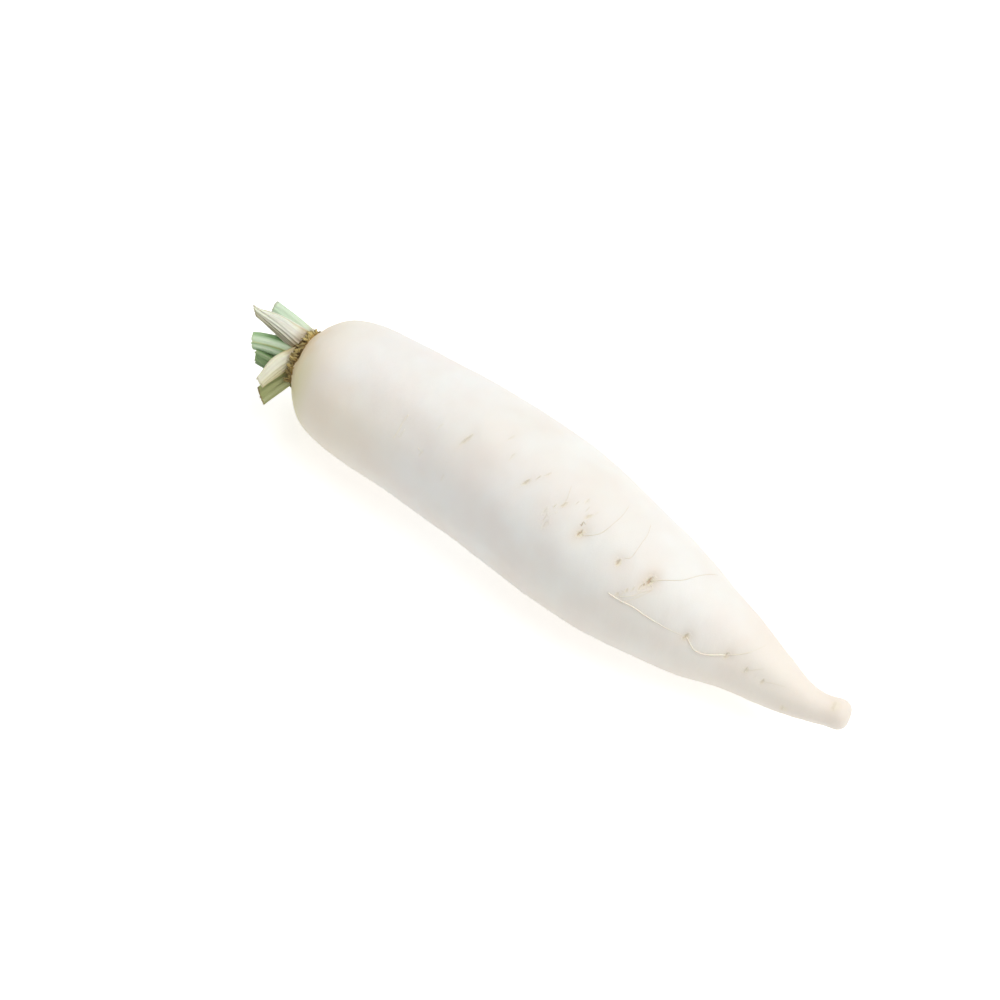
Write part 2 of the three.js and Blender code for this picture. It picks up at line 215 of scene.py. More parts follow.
def skin_height(along, angle, radius):
    """The broad height and fine ripples, less each slit's wide part, a bell of 0.7 of its depth."""
    height = broad_height(along, angle)
    for slit in SLITS:
        reach = np.hypot(*slit_place(along, angle, radius, slit))
        height = height - WIDE_SHARE * slit[4] * bell(reach, 0, WIDE_REACH)
    level, upright = radius * np.cos(angle), radius * np.sin(angle)
    even = smoothstep(along, 6, 30) * (1 - smoothstep(along, 318, 338))
    wide = ripple(np.stack([along / 1.2, level, upright], -1), 26, 3)
    fine = ripple(np.stack([along * 1.6, level / 2, upright / 2], -1), 7, 5)
    return height + even * (RIPPLE_HEIGHT * wide + FINE_RIPPLE_HEIGHT * fine)


def round_axis(along, angle, reach):
    """Centre of the axis + reach · (cos·side + sin·up), pressed flat onto the resting surface z = 0."""
    centre, side, up = axis_at(along)
    points = centre + reach[..., None] * (np.cos(angle)[..., None] * side + np.sin(angle)[..., None] * up)
    points[..., 2] = np.maximum(points[..., 2], 0)
    return points


profile_t = np.linspace(0, 1, 6001)
profile = smooth(OUTLINE, profile_t)
body = profile[profile[:, 0] > NECK_END + 0.1]


def on_skin(along, degrees, lift):
    """Points on the skin at distances along the root and angles round it, in root millimetres."""
    along = np.asarray(along, float)
    angle = np.radians(degrees)
    radius = np.interp(along, body[:, 0], body[:, 1])
    return round_axis(along, angle, radius + skin_height(along, angle, radius) + lift)


print(len(SLITS), "slits and", len(DENTS), "hollows")

# %% [markdown]
# The solid model's origin is not the crown, so the curves have to find their place in it. The
# same formula is worked out at the solid's own few rings and sides. Where that box's middle
# falls short of the solid's, by so much everything is moved.

# %% From the root's millimetres to the model's metres
SOLID_SIDES = 36
SOLID_RINGS = 61
solid_t = np.arange(1, SOLID_RINGS + 1)[:, None] / (SOLID_RINGS + 1) + np.zeros(SOLID_SIDES)
solid_angle = 2 * np.pi * np.arange(SOLID_SIDES) / SOLID_SIDES + np.zeros((SOLID_RINGS, 1))
solid_along, solid_radius = np.moveaxis(smooth(OUTLINE, solid_t), -1, 0)
solid = round_axis(solid_along, solid_angle, solid_radius + broad_height(solid_along, solid_angle))
solid = np.vstack([solid.reshape(-1, 3), axis_at(OUTLINE[0][0])[0], axis_at(ROOT_LENGTH)[0]])
low, high = (np.array(corner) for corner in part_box("root"))
SHIFT = (low + high) / 2 - (solid.min(0) + solid.max(0)) / 2 * MM
print("solid's size less the formula's, mm:", ((high - low) / MM - np.ptp(solid, axis=0)).round(3))
print("the crown's plane lies at x =", round(SHIFT[0], 4), "m")


def to_frame(points):
    """Root millimetres turned into the model's metres."""
    return np.asarray(points) * MM + SHIFT


# %% [markdown]
# Each skin is a grid of rings, closed by a fan of triangles at both ends. One helper makes every
# such grid, measures its volume and turns it the right way out. What the finishes need to know,
# such as how far along a stalk a point is, is stored at the vertices as named attributes.

# %% Grids of rings into meshes
def ring_faces(rows, columns):
    """Quads between neighbouring rings, and the triangles of the two fans that close the ends."""
    row, column = np.meshgrid(np.arange(rows - 1), np.arange(columns), indexing="ij")
    here = 1 + row * columns + column
    beside = 1 + row * columns + (column + 1) % columns
    quads = np.stack([here, beside, beside + columns, here + columns], -1).reshape(-1, 4)
    k = np.arange(columns)
    following = (k + 1) % columns
    last = 1 + (rows - 1) * columns
    start = np.stack([0 * k, 1 + following, 1 + k], -1)
    close = np.stack([0 * k + rows * columns + 1, last + k, last + following], -1)
    return quads, np.vstack([start, close])


def enclosed(points, quads, triangles):
    """The volume inside closed faces: a sixth of the sum of a · (b × c) over all triangles."""
    corners = np.vstack([quads[:, [0, 1, 2]], quads[:, [0, 2, 3]], triangles])
    a, b, c = (points[corners[:, k]] for k in range(3))
    return float((a * np.cross(b, c)).sum() / 6)


def closed_grid(rings, first, last, attributes):
    """One closed skin, its faces looking outwards, as points, quads, triangles and attributes. Each
    attribute is a grid like the rings, and an end point takes the mean of the ring beside it."""
    rows, columns = rings.shape[:2]
    points = np.vstack([first, rings.reshape(-1, 3), last])
    quads, triangles = ring_faces(rows, columns)
    if enclosed(points, quads, triangles) < 0:
        quads, triangles = quads[:, ::-1], triangles[:, ::-1]
    values = {}
    for key, grid in attributes.items():
        flat = grid.reshape((rows * columns,) + grid.shape[2:])
        values[key] = np.concatenate([grid[:1].mean(1), flat, grid[-1:].mean(1)])
    return points, quads, triangles, values


def joined(parts):
    """Several closed skins as one, with their points numbered on."""
    starts = np.cumsum([0] + [len(part[0]) for part in parts])
    points = np.vstack([part[0] for part in parts])
    quads = np.vstack([part[1] + start for part, start in zip(parts, starts)])
    triangles = np.vstack([part[2] + start for part, start in zip(parts, starts)])
    values = {key: np.concatenate([part[3][key] for part in parts]) for key in parts[0][3]}
    return points, quads, triangles, values


def add_piece(name, part, replaced=()):
    """A smooth-shaded object in the model's metres that rides on the root and stands for CAD nodes."""
    points, quads, triangles, values = part
    mesh = bpy.data.meshes.new(name)
    mesh.from_pydata(to_frame(points).tolist(), [], quads.tolist() + triangles.tolist())
    mesh.polygons.foreach_set("use_smooth", np.ones(len(mesh.polygons), bool))
    for key, value in values.items():
        kind, field = ("FLOAT", "value") if value.ndim == 1 else ("FLOAT_VECTOR", "vector")
        attribute = mesh.attributes.new(key, kind, "POINT")
        attribute.data.foreach_set(field, np.asarray(value, np.float32).ravel())
    mesh.update()
    piece = bpy.data.objects.new(name, mesh)
    bpy.context.scene.collection.objects.link(piece)
    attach(piece, "root")
    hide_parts(*replaced)
    volume = enclosed(points, quads, triangles) / 1000
    print(f"{name}: {2 * len(quads) + len(triangles)} triangles, {volume:.2f} cm³")
    return piece


# %% [markdown]
# The skin of the root follows the profile closely enough to carry the wide part of every slit.
# The sharp part comes from the finish, which reads each point's place in the nearest slit. The
# rings stand closer together at the crown, where the form turns quickly. Where the skin is
# corky, creamy or greenish is worked out from the same places.

# %% The root's skin
ROOT_ROWS = 330
ROOT_COLUMNS = 284
CROWN_CROWDING = 2.5
RING_SCAR_DEPTH = 0.35
lengths = np.hypot(*np.diff(profile, axis=0).T) * (1 + CROWN_CROWDING * bell(profile[1:, 0], 0, 12))
walked = np.concatenate([[0], np.cumsum(lengths)])
row_t = np.interp(np.linspace(0, walked[-1], ROOT_ROWS + 2)[1:-1], walked, profile_t)
along, radius = (column[:, None] + np.zeros(ROOT_COLUMNS) for column in smooth(OUTLINE, row_t).T)
angle = np.zeros((ROOT_ROWS, 1)) + np.arange(ROOT_COLUMNS) * 2 * np.pi / ROOT_COLUMNS
ring_scars = (1 - smoothstep(along, -1, NECK_END)) * np.cos(2.4 * radius + np.sin(3 * angle))
rings = round_axis(along - RING_SCAR_DEPTH * ring_scars, angle, radius + skin_height(along, angle, radius))

# %% What the root's finish needs to know
# Each vertex knows its nearest slit: the place in that slit's measure, its stain and its depth.
# The skin is warmer round every stained slit and creamy near the crown. Low on the shoulder's
# front flank the same cream is painted warm light, reflected from below.
wander = ripple(np.stack([along, radius * np.cos(angle), radius * np.sin(angle)], -1), 9, 11)
places = np.array([slit_place(along, angle, radius, slit) for slit in SLITS])
nearest = np.hypot(*np.moveaxis(places, 1, 0)).argmin(0)
across_slit, round_slit = (np.take_along_axis(places[:, k], nearest[None], 0)[0] for k in (0, 1))
near = 1 - smoothstep(np.hypot(across_slit, round_slit), 2.6, 4)
slit_depths, slit_stains = np.array(SLITS)[:, 4:6].T
around = bell(np.hypot(places[:, 0], places[:, 1]), 0, 2.6)
warmth = (slit_stains[:, None, None] ** 1.5 * around).sum(0)
near_crown = 1 - smoothstep(along, 6, 45)
# Painted warm reflected light on the front flank, low on the shoulder.
painted_warm_bounce = (1 - smoothstep(along, 30, 110)) * smoothstep(-np.cos(angle), 0.3, 0.95)
skin_marks = {
    "cork": 1 - smoothstep(along + 1.1 * wander, 1.5, 3.4),
    "flush": bell(along + 2 * wander, 3, 7) * smoothstep(np.sin(angle), -0.3, 0.6),
    "shoulder": np.maximum(near_crown, painted_warm_bounce),
    "greening": bell(along, 11, 9) * smoothstep(-np.cos(angle), 0.1, 0.9),
    "tail": smoothstep(along, 225, 330),
    "warm": np.minimum(warmth, 1),
    "slit": np.stack([across_slit, round_slit, 0 * near], -1),
    "stain": slit_stains[nearest] * near,
    "pit": slit_depths[nearest] * near,
}
ends = axis_at(OUTLINE[0][0])[0], axis_at(ROOT_LENGTH)[0]
skin = add_piece("radish_skin", closed_grid(rings, *ends, skin_marks), ["root"])

# %% [markdown]
# A cut leaf stalk is a fleshy gutter: rounded and ribbed outside, hollowed inside, wider where it
# clasps the crown. It is one cross section carried along a bent line. The cut end is not a flat
# lid: the flesh has sunk a little, and the outer skin stands up round it as a ragged rim.

# %% The stalks' sizes
# Points are measured from the crown's centre. `from` lies inside the crown, `to` is the middle of
# the cut, and `lean` bends the line between them. `width` is given at the foot, halfway and at the
# cut, and `thick` at the foot and the cut. `cut` is the slant of the cut across and backwards,
# `nib` how far one edge draws in towards it, and `facing` the way the rounded back faces.
# `shrivel` is the height of the wrinkles. `folds` are creases along the stalk, in degrees round it
# with their depth. `painted_highlights`, `gold` and `shaded` are lighter, golden and darker bands, in
# degrees with half their width. The lighter bands are a painted highlight along the lit side of the
# back, and the darker band is a painted shadow where a neighbouring stalk shades this one. A darker
# band fades towards the cut.
STALKS = [
    {"from": [1, 2.6, 8.4], "to": [-31.8, -0.8, 20], "lean": [-1, 0.3, 0.2], "width": [14, 10.2, 7.8],
     "thick": [7, 3.8], "cut": [1, 0.4], "nib": 0.8, "facing": [0.3, -0.45, 0.85], "look": "pale",
     "shrivel": 0.22, "folds": [[160, 0.7], [146, 0.9], [129, 0.7], [112, 0.35], [92, 0.2], [61, 0.15]],
     "painted_highlights": [[75, 24]], "gold": [[25, 8]], "browning": 0.5},
    {"from": [0.7, 7.4, 5.8], "to": [-28, 10, 11], "lean": [-0.6, 0.3, 0.4], "width": [11, 9.6, 8],
     "thick": [6.4, 4.2], "cut": [0.3, 0.2], "nib": 0, "facing": [0.3, -0.2, 0.9], "look": "mint",
     "shrivel": 0.07, "folds": [[75, 0.12]], "painted_highlights": [[60, 22]], "browning": 0.4},
    # The third stalk carries a painted shadow on its side next to the first stalk.
    {"from": [0, -1.4, 4.2], "to": [-25.4, -10.4, 6.4], "lean": [-1, 0.6, 0.4], "width": [10, 10.4, 9.4],
     "thick": [7.5, 5.6], "cut": [0.1, 0.25], "nib": 0, "facing": [0.1, -0.6, 0.8], "look": "fresh",
     "shrivel": 0.06, "folds": [[106, 0.4], [48, 0.15]], "painted_highlights": [[78, 22], [122, 10]], "gold": [[99, 5]],
     "shaded": [[40, 24]], "browning": 0.15},
    {"from": [0, -8.4, -4.2], "to": [-20.6, -14.1, 1], "lean": [-1, -0.4, 0], "width": [9, 9, 8.6],
     "thick": [6.5, 5], "cut": [0.4, 0.15], "nib": 0, "facing": [0.1, -0.8, 0.6], "look": "deep",
     "shrivel": 0.08, "folds": [[70, 0.3], [120, 0.25]], "painted_highlights": [[48, 10]], "browning": 0.15},
    {"from": [-0.8, -3.6, 8.4], "to": [-8.4, -26.6, 1.6], "lean": [-0.9, -0.3, 0.7], "width": [7.6, 9.6, 6.8],
     "thick": [6, 4], "cut": [-0.3, 0.2], "nib": 0.25, "facing": [0.45, -0.35, 0.85], "look": "cream",
     "shrivel": 0.08, "folds": [[112, 0.18], [132, 0.2], [146, 0.15]], "painted_highlights": [[75, 26]],
     "gold": [[14, 9], [166, 7]], "browning": 0.3},
    {"from": [1.4, -8.4, -1.4], "to": [-7.3, -28, -8.6], "lean": [-0.8, -0.4, -0.2], "width": [8, 9.4, 9.4],
     "thick": [6, 4.4], "cut": [-0.35, 0.2], "nib": 0, "facing": [0.5, -0.4, 0.75], "look": "olive",
     "shrivel": 0.08, "folds": [[100, 0.16], [60, 0.2]], "painted_highlights": [[125, 16]], "browning": 0.95},
    {"from": [1, 8.2, -0.6], "to": [-17, 11.5, -1.5], "lean": [-1.2, 0.8, 0], "width": [10, 9, 8],
     "thick": [6.6, 5], "cut": [-0.3, 0.3], "nib": 0, "facing": [0.2, 0.95, -0.1], "look": "fresh",
     "shrivel": 0.08, "folds": [[80, 0.2], [118, 0.25]], "browning": 0.2},
    {"from": [2, 4.8, -7], "to": [-16, 8, -14], "lean": [-1.2, 0.4, -0.8], "width": [10, 9, 7.6],
     "thick": [6.4, 4.6], "cut": [0.4, 0.1], "nib": 0.2, "facing": [0.2, 0.6, -0.8], "look": "olive",
     "shrivel": 0.16, "folds": [[65, 0.3], [105, 0.25]], "browning": 0.4},
    {"from": [2, -2.5, -8.5], "to": [-15.5, -5, -17], "lean": [-1.2, 0, -0.8], "width": [10.5, 9, 8],
     "thick": [6.6, 5], "cut": [-0.25, 0.35], "nib": 0, "facing": [0.2, -0.15, -0.95], "look": "deep",
     "shrivel": 0.1, "folds": [[85, 0.25], [125, 0.2]], "browning": 0.25},
    {"from": [-2, 2.4, 1], "to": [-20.5, 1, 5], "lean": [-1, 0.6, 0], "width": [8.5, 8, 7],
     "thick": [6.5, 5.5], "cut": [0.3, -0.2], "nib": 0, "facing": [0, 0.3, 0.95], "look": "deep",
     "shrivel": 0.05, "folds": [[90, 0.2]], "browning": 0.1},
    {"from": [-2, 1.4, -4], "to": [-16.5, 3, -6], "lean": [-1, 0, -0.4], "width": [8, 7.4, 6.4],
     "thick": [6, 5], "cut": [-0.3, 0.2], "nib": 0, "facing": [0, 0.2, -0.96], "look": "fresh",
     "shrivel": 0.05, "folds": [[70, 0.2]], "browning": 0.1},
    {"from": [-2, -3, -1.6], "to": [-18.5, -4.6, -2.2], "lean": [-1, -0.4, 0], "width": [7.5, 7, 6],
     "thick": [5.6, 4.6], "cut": [0.2, 0.3], "nib": 0, "facing": [0, -0.9, -0.4], "look": "fresh",
     "shrivel": 0.05, "folds": [[110, 0.2]], "browning": 0.1},
]
GROOVE = 1.05
RIB_DEPTH = 0.045
RIBS = 5
CROWN = axis_at(0)[0]
print(len(STALKS), "stalks")


# %% A stalk's ribbed gutter
STALK_ROWS = 84
STALK_COLUMNS = 96
FOLD_WIDTH = 0.085


def stalk_section(q, width, thick):
    """Across: half the width · cos q. Back: 0.62 · thick · sin^0.8 q with ribs. Front: a shallow groove,
    0.42 · thick · sin q · (1 - 1.05 sin² q)."""
    rise = np.sin(q)
    ribs = 1 + RIB_DEPTH * np.cos(2 * RIBS * q)
    back = thick * 0.62 * np.maximum(rise, 0) ** 0.8 * ribs
    front = thick * 0.42 * rise * (1 - GROOVE * rise * rise)
    return width / 2 * np.cos(q), np.where(rise >= 0, back, front)


def stalk_frame(stalk, t):
    """The bent line (a quadratic Bezier) at t: its point, forward, across and back directions."""
    start = CROWN + np.array(stalk["from"])
    finish = CROWN + np.array(stalk["to"])
    middle = (start + finish) / 2 + 2 * np.array(stalk["lean"])
    t = t[..., None]
    point = (1 - t) ** 2 * start + 2 * t * (1 - t) * middle + t * t * finish
    forward = unit((1 - t) * (middle - start) + t * (finish - middle))
    across = unit(np.cross(forward, np.array(stalk["facing"], float)))
    return point, forward, across, np.cross(across, forward)


def stalk_relief(stalk, q, t, flat, deep, seed):
    """Fine height on the section in millimetres: hair-fine ribs, wrinkles drawn out along the stalk, and
    creases. Returns it with how much of it is crease, from 0 to 1."""
    length = np.linalg.norm(np.subtract(stalk["to"], stalk["from"]))
    drawn = ripple(np.stack([flat, deep, t * length / 9], -1), 2.4, seed)
    fine_ribs = np.cos(17 * q + 1.5 * np.sin(2 * np.pi * t + seed))
    crease = np.zeros_like(q)
    height = 0.03 * fine_ribs + stalk["shrivel"] * drawn
    for degrees, depth in stalk["folds"]:
        wave = 0.05 * np.sin(5 * t + degrees)
        line = bell(turn_from(q + wave, degrees), 0, FOLD_WIDTH) * (0.35 + 0.65 * smoothstep(-t, -1, -0.5))
        height = height - depth * line
        crease = np.maximum(crease, line * min(1, depth / 0.5))
    return height, crease


def fray(q, seed):
    """How far the ragged rim stands past the cut, round the stalk: fine teeth and a few pulled strands."""
    random = np.random.default_rng(seed)
    circle = np.stack([np.cos(q), np.sin(q)], -1)
    edge = 0.22 * ripple(circle * 6, 1.6, seed) + 0.12 * ripple(circle * 6, 0.6, seed + 1)
    for degrees, reach in zip(random.uniform(0, 360, 5), random.uniform(-0.5, 0.9, 5)):
        edge = edge + reach * bell(turn_from(q, degrees), 0, 0.07)
    return edge


# %% Stalks from base to sunken cut
# Rings inside the rim: [share of the section, depth below the cut]
CUT_RINGS = [[0.965, -0.1], [0.93, 0.25], [0.86, 0.42], [0.7, 0.5], [0.5, 0.62], [0.3, 0.6], [0.12, 0.72]]


def stalk_part(stalk, seed):
    """Point + across·a + back·b + forward·(slant of the cut), ring after ring, then the cut face."""
    t = np.linspace(0, 1, STALK_ROWS)[:, None] + np.zeros(STALK_COLUMNS)
    q = np.zeros((STALK_ROWS, 1)) + np.arange(STALK_COLUMNS) * 2 * np.pi / STALK_COLUMNS
    point, forward, across, back = stalk_frame(stalk, t)
    width = smooth(stalk["width"], t)[..., 0]
    thick = stalk["thick"][0] + (stalk["thick"][1] - stalk["thick"][0]) * t
    flat, deep = stalk_section(q, width, thick)
    height, crease = stalk_relief(stalk, q, t, flat, deep, seed)
    nib = 1 - stalk["nib"] * smoothstep(t, 0.45, 1)
    a = np.where(flat > 0, flat * nib, flat) + height * np.cos(q)
    b = deep + height * np.sin(q)
    rim = fray(q, seed) * smoothstep(t, 0.93, 1)
    lift = smoothstep(t, 0.5, 1) * (stalk["cut"][0] * a + stalk["cut"][1] * b) + rim
    rings = point + across * a[..., None] + back * b[..., None] + forward * lift[..., None]
    # Bands round the stalk: painted highlights, golden tints and a painted shadow.
    bands = [[bell(turn_from(q, d), 0, math.radians(w)) for d, w in stalk.get(kind, [])] + [0 * q]
             for kind in ("painted_highlights", "gold", "shaded")]
    painted_highlight, gold, shaded = (np.max(band, axis=0) for band in bands)
    length = np.linalg.norm(np.subtract(stalk["to"], stalk["from"]))
    marks = {"grow": t, "painted_highlight": painted_highlight, "gold": gold, "shaded": shaded * (1 - smoothstep(t, 0.35, 1)),
             # This line also marks the lower side of the stalk, which gets painted shade.
             "crease": crease, "painted_side_shade": smoothstep(-np.cos(q), 0.1, 0.8),
             "inner": smoothstep(-np.sin(q), -0.1, 0.5), "face": smoothstep(t, 0.985, 1) * 0.5,
             "grain": np.stack([a, b, t * length / 9], -1)}
    low = thick[-1, 0] * 0.2
    for share, depth in CUT_RINGS:
        inner_a, inner_b = a[-1] * share, low + (b[-1] - low) * share
        speckle = 0.1 * ripple(np.stack([inner_a, inner_b], -1), 1.8, seed + 2)
        slope = stalk["cut"][0] * inner_a + stalk["cut"][1] * inner_b
        raised = slope + rim[-1] * max(0, 2 * share - 1) - depth + speckle * (share < 0.9)
        ring = point[-1] + across[-1] * inner_a[:, None] + back[-1] * inner_b[:, None]
        rings = np.vstack([rings, (ring + forward[-1] * raised[:, None])[None]])
        extra = {key: 0 * q[-1] for key in marks}
        extra.update(grow=t[-1], face=t[-1], grain=np.stack([inner_a, inner_b, 0 * inner_a], -1))
        marks = {key: np.concatenate([marks[key], extra[key][None]]) for key in marks}
    return closed_grid(rings, point[0, :1], rings[-1].mean(0, keepdims=True), marks)


# %% Twelve cut stalks
stalks = []
for number, stalk in enumerate(STALKS, 1):
    part = stalk_part(stalk, 20 + 3 * number)
    stalks.append(add_piece(f"cut_stalk_{number}", part, [f"leaf_stalk_{number}"]))

# %% [markdown]
# Round the neck stand the dry, papery bases of older leaves, torn short and frayed. A base is a
# thin shell. Its rings run round the shell's edge, from the inner face over the ragged top to
# the outer face, so the same helper closes it. Smaller scraps fill the gaps between the bases.

# %% A ragged shell of paper
PAPER = 0.4
PAPER_ROWS = 14


def paper_part(degrees, half_arc, length, flare, start, radius, columns, seed, tone, rows=PAPER_ROWS):
    """A ragged shell round part of the neck: radius + flare·t² + wrinkles, from `start` back to a torn
    edge. Each ring goes up the inner face and down the outer one."""
    up = np.linspace(0, 1, rows)
    t = np.concatenate([up, up[::-1]])[None] + np.zeros((columns, 1))
    outside = (np.arange(2 * rows) >= rows)[None]
    s = np.linspace(-1, 1, columns)[:, None] + np.zeros(2 * rows)
    reach = s * half_arc / 20
    flatly = np.stack([reach * 6, np.zeros_like(s) + seed], -1)
    teeth = 0.2 * ripple(flatly, 3.4, seed) + 0.16 * ripple(flatly, 1.1, seed + 1)
    teeth = teeth + 0.1 * ripple(flatly, 0.45, seed + 2)
    along_root = start - length * t * (1 + teeth * t) * (1 - 0.25 * s * s)
    wrinkle = t * (0.35 * ripple(flatly, 2.2, seed + 3) + 0.12 * ripple(flatly, 0.8, seed + 4))
    curl = 0.5 * t**3 * ripple(flatly, 1.7, seed + 5)
    paper = PAPER * (1 - 0.75 * t**2) * (1 - 0.8 * s**8)
    distance = radius + flare * t * t + wrinkle + curl + np.where(outside, paper, 0)
    centre, side, upward = axis_at(along_root)
    lean = 60 / (half_arc + 4) * math.sin(7 * seed)
    turn = np.radians(degrees + half_arc * s * (1 - 0.1 * t) + lean * t)
    turned = np.cos(turn)[..., None] * side + np.sin(turn)[..., None] * upward
    rings = centre + distance[..., None] * turned
    grain = np.stack([np.radians(half_arc) * s * radius, 0 * s, length * t / 7], -1) + seed
    marks = {"height": t, "fringe": smoothstep(t, 0.55, 1) * (0.6 + 0.4 * np.sin(seed)), "grain": grain,
             "tone": tone + 0 * t}
    return closed_grid(rings, rings[:1].mean(1), rings[-1:].mean(1), marks)


# %% Seven papery bases
# [middle angle in degrees, half the arc, length towards the leaves, flare] of the solid bases. What
# is seen is torn a little shorter and stands out less.
BASES = [
    [62, 25, 4.8, 1], [112, 22, 3.8, 0.5], [158, 21, 3.6, 0.6], [204, 22, 4, 0.8],
    [252, 23, 5.2, 1.1], [304, 26, 5, 0.8], [4, 28, 5.6, 0.9],
]
BASE_START = 2.2
BASE_RADIUS = 15
TORN_LENGTH = 0.85
TORN_FLARE = 0.7
BASE_COLUMNS = 90
papers = []
for number, (degrees, half_arc, length, flare) in enumerate(BASES, 1):
    tone = max(0.15, 0.85 - 0.22 * number)
    shape = degrees, half_arc, TORN_LENGTH * length, TORN_FLARE * flare, BASE_START, BASE_RADIUS
    part = paper_part(*shape, BASE_COLUMNS, 60 + 7 * number, tone)
    papers.append(add_piece(f"papery_base_{number}", part, [f"dry_leaf_base_{number}"]))

# %% Scraps between and over the bases
SCRAPS = 72
SCRAP_COLUMNS = 26
SCRAP_ROWS = 8
# Scraps that stand out: [degrees, half the arc, length, flare, start, tone]
LARGE_SCRAPS = [
    [58, 5, 3.2, 1.2, 2.6, 0.95], [70, 6, 4.4, 1.0, 2.8, 1.0], [84, 3, 3.8, 0.9, 2.6, 0.85],
    [97, 2, 4.2, 0.7, 2.6, 0.15], [108, 4, 4.4, 1.0, 2.8, 1.0], [120, 2, 4.6, 0.8, 2.6, 0.1],
    [129, 4, 4.8, 1.1, 2.8, 0.9], [140, 2.5, 4.6, 0.9, 2.6, 0.2], [151, 4, 4.8, 1.2, 2.8, 0.7],
    [163, 4, 4.4, 1.3, 2.8, 0.1], [178, 7, 5.4, 1.8, 3, 0.4],
]
random = np.random.default_rng(8)
shapes = [[*scrap, BASE_RADIUS + 0.8] for scrap in LARGE_SCRAPS]
for number in range(SCRAPS):
    degrees = 360 * (number + random.uniform(-0.4, 0.4)) / SCRAPS
    half_arc, length = random.uniform(0.8, 2.7) ** 2, random.uniform(1, 2.0) ** 2
    flare, start = random.uniform(-1.0, 1.0), random.uniform(1.2, 3.2)
    tone = random.uniform(0, 1) * (0.65 + 0.35 * math.cos(math.radians(degrees - 75)))
    radius_here = np.interp(start, body[:, 0], body[:, 1]) + random.uniform(-1.2, -0.1)
    shapes.append([degrees, half_arc, length, flare, start, tone, radius_here])
scraps = []
for number, (*shape, tone, radius_here) in enumerate(shapes):
    scraps.append(paper_part(*shape, radius_here, SCRAP_COLUMNS, 200 + number, tone, SCRAP_ROWS))
papers.append(add_piece("papery_scraps", joined(scraps)))

# %% [markdown]
# Thin side roots lie on the skin, and frayed threads stand among the papery bases. Both are fine
# tubes along a path. Blender's curve objects could make them, but tubes from the same grids keep
# one kind of mesh in the whole object, and they can carry a value for their browning.

# %% Tubes along a path
def tube_part(path, away, radii, browning, sides=8):
    """Rings of radius r round a path, kept level with `away`: path + r · (cos·side + sin·away)."""
    forward = unit(np.gradient(path, axis=0))
    side = unit(np.cross(forward, away))
    upward = np.cross(side, forward)
    phi = np.arange(sides) * 2 * np.pi / sides
    round_it = np.cos(phi)[:, None] * side[:, None] + np.sin(phi)[:, None] * upward[:, None]
    rings = path[:, None] + radii[:, None, None] * round_it
    rings[..., 2] = np.maximum(rings[..., 2], 0)
    marks = {"browning": np.full((len(path), sides), float(browning))}
    return closed_grid(rings, path[:1], path[-1:], marks)


# %% Thin side roots
# [radius at the start, radius at the end, browning, places as [along, degrees]]
ROOTLETS = [
    [0.17, 0.09, 0.55,
     [[191, 113], [192.9, 112.6], [197.6, 104.2], [198.9, 91.2], [198.9, 81], [197.4, 69.8]]],
    [0.14, 0.09, 0.55, [[213, 108], [215.1, 103.8], [214.3, 89], [213.6, 80.2], [211.1, 69.5]]],
    [0.20, 0.10, 0.45,
     [[228.6, 110], [231, 105.8], [236.6, 98], [240.6, 89.8], [245.1, 72.2], [250.3, 52.8]]],
    [0.20, 0.12, 0.15, [[228.4, 112], [231.3, 115.2], [227.6, 128], [222.3, 139.8]]],
    [0.46, 0.36, 0.05, [[215.6, 137.2], [221.6, 137.5], [228.3, 136.2], [234.6, 136.8], [242.3, 136.8]]],
    [0.28, 0.10, 0.10, [[241, 136.8], [246, 136.6], [251, 136], [256.2, 134.8]]],
    [0.22, 0.14, 0.05, [[220.6, 135.2], [225.1, 129.2], [228.8, 120.5], [231.8, 115]]],
    [0.30, 0.60, 0.05,
     [[256.8, 134.5], [258.8, 137.2], [262.6, 142.6], [266.3, 143.2], [270.6, 140], [278, 130]]],
    [0.24, 0.10, 0.20, [[278.4, 129.6], [282.3, 120.5], [286, 109], [288.5, 94], [290.3, 75.5]]],
    [0.18, 0.10, 0.20, [[290.6, 131.4], [293, 125.2], [297.3, 109.5]]],
    [0.18, 0.10, 0.20, [[300, 132.8], [304.5, 124.2], [311.3, 111.8]]],
    [0.14, 0.08, 0.45, [[176.9, 107.8], [175.4, 100], [172.6, 91.2]]],
    [0.16, 0.10, 0.10, [[188.8, 101], [189.9, 96], [190.2, 92]]],
    [0.26, 0.20, 0.00, [[79.2, 138.2], [79.7, 131], [79.7, 123.2], [80.2, 116.7]]],
    [0.22, 0.16, 0.00, [[81.9, 135], [82.9, 127.5]]],
    [0.20, 0.14, 0.00, [[95.4, 134], [97.6, 135], [99.9, 135.2]]],
    [0.18, 0.12, 0.00, [[99.4, 115.8], [101.2, 108.8]]],
]
PATH_STEPS = 40
FAR_ROW = 275
OLD_STAIN = 0.4
# Shares of the listed radius: how much of it is made, and how high over the skin the middle lies
THINNER = 0.85
SUNK_TO = 0.66


def rootlet_part(start_radius, end_radius, browning, places):
    """A tube on the skin along a smooth curve through places, sunk by a third of its radius."""
    t = np.linspace(0, 1, PATH_STEPS)
    along, degrees = smooth(places, t).T
    radii = THINNER * (start_radius + (end_radius - start_radius) * t)
    radii = radii * smoothstep(np.minimum(t, 1 - t), -0.02, 0.05)
    path = on_skin(along, degrees, SUNK_TO * radii)
    away = unit(path - axis_at(along)[0])
    return tube_part(path, away, radii, browning)


